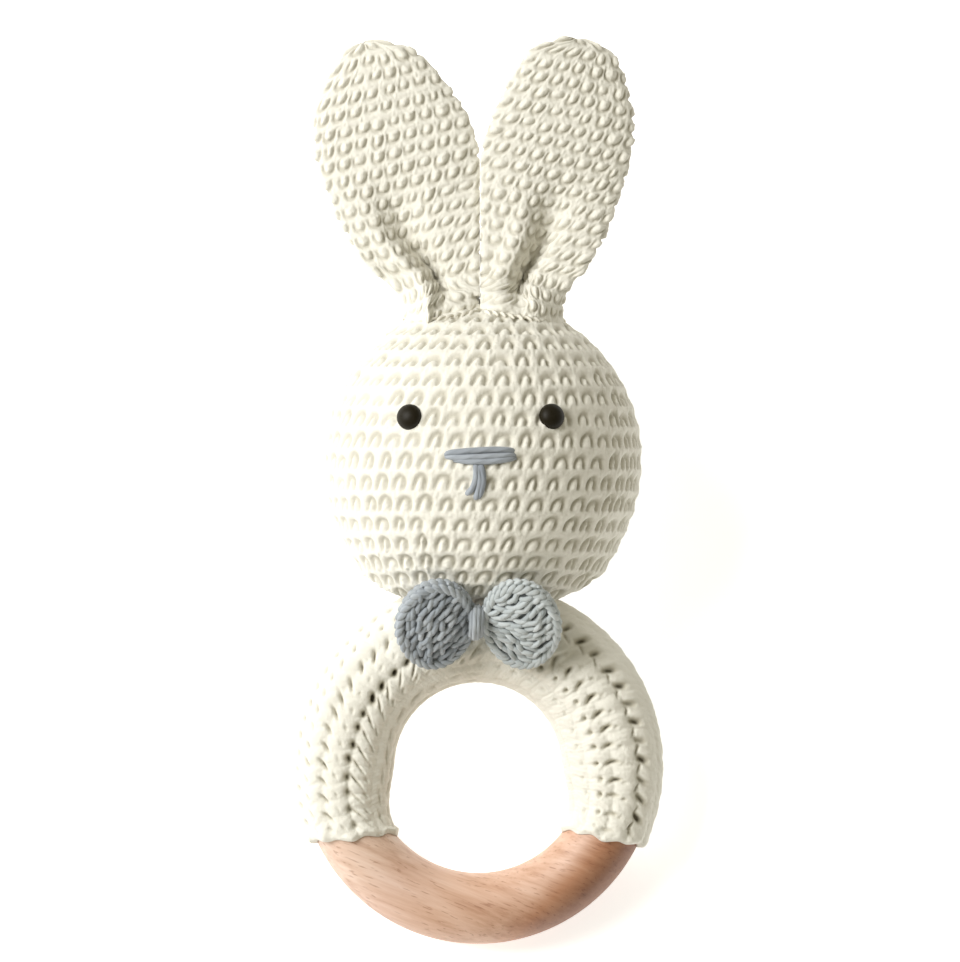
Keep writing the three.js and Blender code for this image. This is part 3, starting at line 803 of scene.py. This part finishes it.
# Each ear: its lean in degrees, the place of its fold's groove (-1 to 1 across), how that shifts
# with height, its depth, the stitches' shift from row to row, the twist of the ear's face, and
# how far its outer edge is drawn in at the base.
EARS = {
    "left": dict(lean=13.0, groove=0.16, slant=-0.035, dip=6.4, shift=0.3, tilt=0.0, tuck=3.6),
    "right": dict(lean=-12.0, groove=-0.16, slant=0.025, dip=6.0, shift=0.35, tilt=-1.5, tuck=2.0),
}


def ear_stitches(side, rows):
    return Stitches(
        rows=rows, pitch=3.3, shift=EARS[side]["shift"], lean=EARS[side]["shift"],
        groove=(1.06, 1.20, 0.80, 0.36, 0.44), loop=(0.75, 0.48), band=0.30, shade=0.78,
    )


def sliced(edges, axis_values, across_values, level):
    """Lowest and highest across_values where the edges cross a level of axis_values."""
    a, b = axis_values[edges[:, 0]], axis_values[edges[:, 1]]
    crossing = (a - level) * (b - level) < 0
    a, b, pairs = a[crossing], b[crossing], edges[crossing]
    f = (level - a) / (b - a)
    found = across_values[pairs[:, 0]] * (1 - f) + across_values[pairs[:, 1]] * f
    return found.min(), found.max()


def ear_outline(node):
    """The CAD ear's outline seen from the front, run straight down below its base."""
    mesh = frame["nodes"][node].data
    points = to_own([v.co for v in mesh.vertices])
    edges = np.array([tuple(e.vertices) for e in mesh.edges])
    low, high = points[:, 1].min() + 4.0, points[:, 1].max() - 0.05
    heights = high - (high - low) * np.linspace(0, 1, 70) ** 2
    sides = np.array([sliced(edges, points[:, 1], points[:, 0], h) for h in heights])
    left, right = xyz(sides[:, 0], heights), xyz(sides[:, 1], heights)
    below = np.array([0.0, -16.0])
    return np.concatenate([[left[-1] + below], left[::-1], right, [right[-1] + below]])


def ear_grid(side, inset):
    """Rows from the ear's tip to below its base, each a loop round the flattened tube."""
    facts = EARS[side]
    lean = math.radians(facts["lean"])
    outline = ear_outline(f"ear_{side}")
    up = np.array([-math.sin(lean), math.cos(lean)])
    right = np.array([math.cos(lean), math.sin(lean)])
    height, across = outline @ up, outline @ right
    edges = xyz(np.arange(len(outline)), np.roll(np.arange(len(outline)), -1))
    top = height.max() - 0.02
    drop = np.linspace(0, 1, EAR_STEPS[0]) ** 1.25 * (height.max() - EAR_HINGE_Y + 9.0)
    turn = round_turn(EAR_STEPS[1]) - np.pi / 2
    a, front = np.cos(turn), np.sin(turn)
    face = np.maximum(front, 0)
    flare = np.where(a > 0 if side == "left" else a < 0, face**0.35, face**1.5)
    rows = []
    for down in drop:
        level = top - inset - down
        shrink = inset * float(smoothstep(0, 6, down))
        low, high = sliced(edges, height, across, top - down - shrink)
        half = max((high - low) / 2 - shrink, 0.02)
        flat = right * ((low + high) / 2 + half * a)[:, None] + up * level
        blunt = 1 - min((down + 0.05) / 9.0, 1.0)
        depth = (EAR_THICKNESS / 2 - inset) * math.sqrt(1 - blunt**2)
        above = flat[:, 1] - EAR_HINGE_Y
        open_up = 1 - smoothstep(0.12, 0.56, (above + 7.5) / 55)
        # the fold: a groove that narrows and fades towards the base, with a soft roll beside it
        groove = facts["groove"] + facts["slant"] * above.clip(-4, 9)
        narrow = 0.17 + 0.12 * smoothstep(0, 14, above)
        dip = facts["dip"] * open_up * np.exp(-(((a - groove) / narrow) ** 2))
        dip = dip * smoothstep(-6.0, -1.0, above)
        roll = 1.6 * np.cos(a * np.pi / 2) + 1.8 * np.exp(-(((a - groove + 0.42) / 0.2) ** 2))
        swell = open_up * face * roll + 7.6 * flare * (1 - smoothstep(-5.5, 1.5, above))
        z = depth * np.sign(front) * np.abs(front) ** 0.8 + 3.5 * open_up * a**2
        z = z + facts["tilt"] * a * smoothstep(0, 18, level - EAR_HINGE_Y)
        rows.append(xyz(*flat.T, z + swell - dip * face))
    return np.array(rows)


def evenly(grid):
    """The same rows spaced evenly along the middle of the front, and the length there."""
    front = np.linalg.norm(np.diff(grid[:, EAR_STEPS[1] // 4], axis=0), axis=1)
    side = np.linalg.norm(np.diff(grid.mean(axis=1), axis=0), axis=1)
    run = np.concatenate([[0], np.cumsum(np.maximum(side, 0.3 * front))])
    spread = np.interp(np.linspace(0, run[-1], len(grid)), run, np.arange(len(grid)))
    low = spread.astype(int).clip(0, len(grid) - 2)
    f = (spread - low)[:, None, None]
    return grid[low] * (1 - f) + grid[low + 1] * f, run[-1]


def tucked(side, away):
    """How far an ear is drawn in at its base, by the distance from the ears' divide."""
    return EARS[side]["tuck"] * smoothstep(8.0, 17.0, away)


def ear(side):
    grid, length = evenly(ear_grid(side, EAR_INSET))
    stitches = ear_stitches(side, round(length / EAR_ROW))
    points, tone = worked_surface(Skin(evenly_round(grid)), stitches)
    # the two ears are pressed together along their divide, most of all at the base
    way = -1 if side == "left" else 1
    away = way * (points[:, 0] - EAR_DIVIDE)
    low = 1 - smoothstep(EAR_HINGE_Y - 6.0, EAR_HINGE_Y + 4.0, points[:, 1])
    pull = (0.9 + 2.2 * low) * (1 - smoothstep(0.5, 8.0, away))
    away = np.maximum(away - pull - tucked(side, away) * low, 0.03)
    points[:, 0] = EAR_DIVIDE + way * away
    made = build(f"ear_{side}_crochet", points, closed_faces(*EAR_STEPS), CREAM_WORKED, tone=tone)
    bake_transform(made)
    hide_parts(f"ear_{side}")


# ---- things on the head's surface


def on_head(x, y):
    """Points of the head's surface in front of (x, y), and the outward direction there."""
    x, y = x - HEAD_CENTRE[0], y - HEAD_CENTRE[1]
    outward = unit(xyz(x, y, np.sqrt(HEAD_RADIUS**2 - (x**2 + y**2))))
    return HEAD_CENTRE + outward * HEAD_RADIUS, outward


EYE_RADIUS, EYE_HEIGHT = 2.5, 2.2
# The post behind the fabric and the thin flange, as radius and height over the head.
EYE_POST = [(0.9, -4.5), (0.95, -0.6), (2.3, -0.5), (2.5, -0.3), (2.56, 0.0), (2.53, 0.25)]


def eye(side):
    """A domed safety eye, turned to face out of the head."""
    direction = unit((own_middle(f"eye_{side}") - HEAD_CENTRE) * [0.965, 0.965, 1.0])
    base = HEAD_CENTRE + direction * (HEAD_RADIUS - 0.25)
    side_axis = unit(np.cross([0.0, 1.0, 0.0], direction))
    up_axis = np.cross(direction, side_axis)
    rise = np.linspace(0, np.pi / 2, 15)[:-1]
    low = 0.35
    dome = [(EYE_RADIUS * math.cos(a), low + (EYE_HEIGHT - low) * math.sin(a)) for a in rise]
    profile = EYE_POST + dome
    turns = 48
    around = round_turn(turns)
    circle = np.cos(around)[:, None] * side_axis + np.sin(around)[:, None] * up_axis
    rings = [base + r * circle + h * direction for r, h in profile]
    ends = [[base + profile[0][1] * direction], [base + EYE_HEIGHT * direction]]
    points = np.concatenate(rings + ends)
    faces = tube_faces(len(profile), turns)
    last = len(points)
    top = (len(profile) - 1) * turns
    for i in range(turns):
        j = (i + 1) % turns
        faces += [(j, i, last - 2), (top + i, top + j, last - 1)]
    made = build(f"eye_{side}_dome", points, faces, EYE_BLACK)
    stand_for(made, "head", f"eye_{side}")


NOSE_STRANDS = {
    "nose_upper_strand": [[(-7.2, 61.2), (-4.5, 61.6), (0.0, 61.95), (4.0, 62.1), (7.6, 61.9)]],
    "nose_lower_strand": [
        [(-6.9, 60.9), (-4.0, 60.6), (0.0, 60.7), (4.0, 60.9), (7.7, 61.2)],
        [(-5.2, 60.2), (-2.5, 59.9), (0.5, 59.75), (4.0, 60.0), (7.5, 60.5)],
    ],
    "mouth_left_strand": [[(-0.5, 59.6), (-0.3, 57.8), (-0.5, 56.0), (-1.2, 54.4), (-2.4, 53.3)]],
    "mouth_right_strand": [
        [(0.4, 59.6), (0.9, 57.8), (1.0, 55.8), (0.6, 54.0), (0.1, 52.6)],
        [(-0.1, 59.4), (0.3, 57.4), (0.3, 55.4), (-0.1, 53.6), (-0.5, 52.4)],
    ],
}


def embroidery():
    """Nose and mouth: strands that lie on the head and go into it at their ends."""
    steps = 18
    place = np.linspace(-1, 1, steps)
    for node, strands in NOSE_STRANDS.items():
        yarn = Yarn(sides=8)
        sink = 1.1 * np.abs(place) ** 6
        if node.startswith("nose"):
            sink = sink + 0.45 * smoothstep(0.2, 1, -place)
        for places in strands:
            path = curve_through(places, steps)
            points, normals = on_head(path[:, 0], path[:, 1])
            points = points + normals * (0.15 - sink)[:, None]
            yarn.lay(points[None], normals[None], 0.62, tone=0.55, blunt=0.7)
        made = yarn.make(f"{node}_yarn", BLUE_NOSE)
        stand_for(made, "head", node)


def sewn(node, paths, facings, radius):
    """A line of short stitches on the head."""
    yarn = Yarn(sides=7)
    yarn.lay(np.array(paths), facings[:, None], radius)
    made = yarn.make(f"{node}_stitches", CREAM)
    stand_for(made, "head", node)


# The line that the sewing follows round an ear's base: away from the ears' divide, and forwards.
EAR_SEAM = [[1.4, 12.9], [7, 13.2], [13.5, 10.0], [18.0, 0], [14.5, -6.8], [8, -7.4], [1.4, -6.6]]


def ear_seam(side):
    way = -1 if side == "left" else 1
    away, z = curve_through(EAR_SEAM, 23).T
    x = EAR_DIVIDE + way * (away - tucked(side, away))
    level = np.sqrt(HEAD_RADIUS**2 - (x - HEAD_CENTRE[0]) ** 2 - z**2)
    base = xyz(x, HEAD_CENTRE[1] + level, z)
    outward = unit(base - HEAD_CENTRE)
    tangent = unit(np.gradient(base, axis=0))
    inward = unit(np.cross(outward, tangent)) * -way
    paths = []
    for p, n, t, i in zip(base, outward, tangent, inward):
        start, end = p - t * 0.8 - i * 1.0 - n * 0.6, p + t * 0.8 + i * 0.9 - n * 0.1
        paths.append(curve_through([start, p + n * 0.15, end], 6))
    sewn(f"ear_seam_{side}", paths, outward, 0.34)


def neck_seam(node, facing):
    """Stitches along the edge where the head's hollow ends, in front or at the back."""
    reach = size(node)[0] / 2 - 0.8
    x = np.linspace(-reach, reach, 9)
    gap = HEAD_CENTRE[1] - NOD_Y
    rise = (gap**2 - HEAD_RADIUS**2 + x**2 + TROUGH_RADIUS**2) / (2 * gap)
    out = facing * np.sqrt(TROUGH_RADIUS**2 - rise**2)
    base = xyz(HEAD_CENTRE[0] + x, NOD_Y + rise, out)
    facings = unit(base - [HEAD_CENTRE[0], NOD_Y + 4.0, 0.0])
    step = np.array([0.9, 0.8, 0.0])
    paths = [
        curve_through([p - step - 0.4 * n, p + 0.3 * n, p + step - 0.1 * n], 6)
        for p, n in zip(base, facings)
    ]
    sewn(node, paths, facings, 0.5)


# ---- bow

BOW_TILT = math.radians(40)
BOW_AXES = np.array([
    [1.0, 0.0, 0.0],
    [0.0, math.cos(BOW_TILT), math.sin(BOW_TILT)],
    [0.0, -math.sin(BOW_TILT), math.cos(BOW_TILT)],
])
LOBE_HALF = np.array([7.65, 10.6, 2.8])
LOBE_STEP = (1.08, 2.25)  # from one strand to the next, across a lobe and up it
# The ring inside each lobe's rim is sunken, and its strands are darkened there as painted shade.
LOBE_HOLLOW = {"left": 0.3, "right": 0.16}  # how dark and sunken the ring inside the rim is
RIM_STITCHES = 30


class Lobe:
    """One padded oval of the bow. Its own coordinates: p across, q up the lobe, h out of it."""

    def __init__(self, side):
        self.way = -1 if side == "left" else 1
        low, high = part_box(f"bow_{side}_lobe")
        outer = to_own(low if side == "left" else high)[0]
        self.centre = own_middle("bow_knot")
        self.centre[0] = outer - self.way * LOBE_HALF[0]

    def place(self, p, q, h):
        """Own-plane points: the outer edge and the lower end are lifted, as a tied bow's are."""
        lift = 0.16 * self.way * p + 0.014 * np.minimum(q + 4.0, 0.0) ** 2
        return self.centre + xyz(p, q, h + lift) @ BOW_AXES

    def height(self, p, q):
        r = np.clip((p / LOBE_HALF[0]) ** 2 + (q / LOBE_HALF[1]) ** 2, 0, 1)
        return LOBE_HALF[2] * np.sqrt(1 - r) * 0.9


def lobe_direction(side, p, q):
    """The angle that the bow's strands follow at a place on a lobe."""
    if side == "left":
        return math.radians(62) - 0.05 * p - 0.02 * q
    near_knot = np.interp(q, [-9, -4, -1, 2, 8], [-50, -42, -18, 12, 45])
    outer = smoothstep(-1, 5, p)
    return math.radians((1 - outer) * near_knot + outer * 56)


def lobe_spots(hollow):
    """Where a lobe's strands lie, whether their column is odd, and how light they are: darker, as
    painted shade, in the sunken ring inside the rim.
    """
    spots, tones = [], []
    for i in range(-12, 13):
        for j in range(-8, 9):
            p = i * LOBE_STEP[0] + 0.2 * (j % 2) + rng.normal(0, 0.16)
            q = j * LOBE_STEP[1] + 1.12 * (i % 2) + rng.normal(0, 0.25)
            reach = (p / (LOBE_HALF[0] - 1.3)) ** 2 + (q / (LOBE_HALF[1] - 1.3)) ** 2
            if reach <= 1.0:
                spots.append((p, q, i % 2))
                # painted shade: strands in the ring inside the rim are darker
                tones.append(0.56 - hollow * math.exp(-(((reach - 0.62) / 0.24) ** 2)))
    return spots, tones


def lobe_rim(shape):
    """Three rounds of slanted stitches along a lobe's edge, and which way each one faces."""
    paths, facings = [], []
    t = np.linspace(-0.17, 0.17, 8)
    for layer, shift in ((1, 0.0), (-1, 0.5), (0, 0.25)):
        for i in range(RIM_STITCHES):
            angle = 2 * math.pi * (i + shift) / RIM_STITCHES
            radial = 0.90 - 0.45 * t * shape.way + (0.04 if layer == 0 else 0)
            p = LOBE_HALF[0] * radial * np.cos(angle + t)
            q = LOBE_HALF[1] * radial * np.sin(angle + t)
            paths.append(shape.place(p, q, layer * (0.75 + 0.35 * np.cos(t / t[-1] * np.pi / 2))))
            outward = math.cos(angle) * BOW_AXES[0] + math.sin(angle) * BOW_AXES[1]
            facings.append(unit(BOW_AXES[2] * layer + 0.6 * outward))
    return np.array(paths), np.array(facings)[:, None]


def lobe(side, material):
    """Short strands over both faces of a lobe, its rim, and a lining underneath, coloured dark as
    painted shade between the strands.
    """
    shape = Lobe(side)
    yarn = Yarn(sides=7)
    for back in (1, -1):
        paths = []
        spots, tones = lobe_spots(LOBE_HOLLOW[side])
        for (p, q, odd), tone in zip(spots, tones):
            angle = lobe_direction(side, p, q) + (0.16 if odd else -0.14) + rng.normal(0, 0.2)
            t = np.linspace(-1, 1, 8) * rng.uniform(1.35, 2.1)
            bend = rng.normal(0, 0.1) * (t**2 - 1)
            pp = p + math.cos(angle) * t - math.sin(angle) * bend
            qq = q + math.sin(angle) * t + math.cos(angle) * bend
            ends = (np.abs(t) / t[-1]) ** 2.5
            lift = 1.2 * tone - 0.45 - 0.75 * ends + rng.normal(0, 0.12)
            paths.append(shape.place(pp, qq, back * (shape.height(pp, qq) * 0.8 + lift)))
        yarn.lay(np.array(paths), BOW_AXES[2] * back, 0.58, np.array(tones), 0.18, flat=0.85)
    yarn.lay(*lobe_rim(shape), 0.6, tone=0.62)
    made = yarn.make(f"bow_{side}_crochet", material)
    stand_for(made, "head", f"bow_{side}_lobe")

    # the lining, coloured dark blue as painted shade between the strands
    turns, slices = 40, 18
    around = round_turn(turns)
    slope = np.radians(np.linspace(-88, 88, slices))[:, None]
    p = 0.93 * LOBE_HALF[0] * np.cos(slope) * np.cos(around)
    q = 0.93 * LOBE_HALF[1] * np.cos(slope) * np.sin(around)
    points = shape.place(p, q, (0.72 * LOBE_HALF[2] - 0.35) * np.sin(slope)).reshape(-1, 3)
    lining = build(f"bow_{side}_lining", points, closed_faces(slices, turns), BLUE_INSIDE_SHADE)
    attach(lining, "head")


# Turns of yarn round the bow's middle. For each: place, share of the width, tone.
KNOT_TURNS = ((-0.98, 0.85, 0.3), (-0.36, 1.0, 0.6), (0.3, 0.97, 0.5), (0.92, 0.85, 0.35))


def knot():
    centre = own_middle("bow_knot")
    yarn = Yarn(sides=8)
    angle = np.linspace(-0.1, 2 * np.pi + 0.1, 33)
    for x, wide, tone in KNOT_TURNS:
        q = 3.35 * wide * np.cos(angle) + 0.25
        h = 2.9 * wide * np.sin(angle)
        flat = xyz(x + 0.15 * np.cos(angle), q, h)
        outward = unit(xyz(0, q, h * 1.4)) @ BOW_AXES
        yarn.lay((centre + flat @ BOW_AXES)[None], outward[None], 0.5, tone=tone, blunt=1.0)
    made = yarn.make("bow_knot_yarn", BLUE_KNOT)
    stand_for(made, "head", "bow_knot")


# ---- what is inside the head


INSIDE_LOOKS = {
    "stuffing": FIBREFILL, "capsule": CAPSULE, "rattle_bead": STEEL, "eye_washer": WASHER,
}


def inside():
    """The CAD's own pieces there, which only get their materials."""
    for name, node in frame["nodes"].items():
        for start, material in INSIDE_LOOKS.items():
            if name.startswith(start):
                node.data.materials.clear()
                node.data.materials.append(material)


# ---- camera, light and floor

VIEW_MIDDLE = np.array([0.4, 56.0, 0.0])
VIEW_HEIGHT = 189.1
CAMERA_DISTANCE = 3000.0
FLOOR_REACH = 3.0
KEY_PLACE = Vector((-0.9, 0.2, 1.0))


def studio():
    """A camera on the face's own axis, a white floor, and one soft lamp at the left."""
    scene = bpy.context.scene
    data = bpy.data.cameras.new("camera")
    data.sensor_width = 36.0
    data.lens = data.sensor_width * CAMERA_DISTANCE / VIEW_HEIGHT
    data.clip_end = 20.0
    scene.camera = add_object("camera", data)
    place = Matrix.Translation(Vector(to_row(VIEW_MIDDLE + [0, 0, CAMERA_DISTANCE])))
    scene.camera.matrix_world = place @ Matrix(AXES.tolist()).transposed().to_4x4()

    paper = plain_material(
        "floor_paper", (60.0, 4.0), [(0.3, [0.93] * 3), (0.7, [0.95] * 3)],
        Roughness=0.95, Emission_Color=(1, 1, 1, 1), Emission_Strength=0.66,
    )
    floor = bpy.data.meshes.new("floor")
    corners = FLOOR_REACH * np.array([(-1, -1, 0), (1, -1, 0), (1, 1, 0), (-1, 1, 0)])
    floor.from_pydata(corners.tolist(), [], [(0, 1, 2, 3)])
    floor.materials.append(paper)
    add_object("floor", floor)

    scene.world = bpy.data.worlds.new("studio")
    scene.world.use_nodes = True
    background = scene.world.node_tree.nodes["Background"].inputs
    background["Color"].default_value = (1.0, 0.935, 0.72, 1)
    background["Strength"].default_value = 0.33
    scene.view_settings.view_transform = "Standard"

    light = bpy.data.lights.new("key", "AREA")
    light.size = 0.8
    light.energy = 20.3
    light.color = (1.0, 1.0, 0.99)
    lamp = add_object("key", light)
    lamp.location = KEY_PLACE
    lamp.rotation_euler = (Vector((0, 0, 0.03)) - KEY_PLACE).to_track_quat("-Z", "Y").to_euler()


studio()
wooden_ring()
sleeve()
sleeve_seam()
head()
ear("left")
ear("right")
eye("left")
eye("right")
embroidery()
ear_seam("left")
ear_seam("right")
neck_seam("neck_seam_front", 1)
neck_seam("neck_seam_back", -1)
lobe("left", BLUE_LEFT_SHADED)
lobe("right", BLUE_RIGHT_LIT)
knot()
inside()
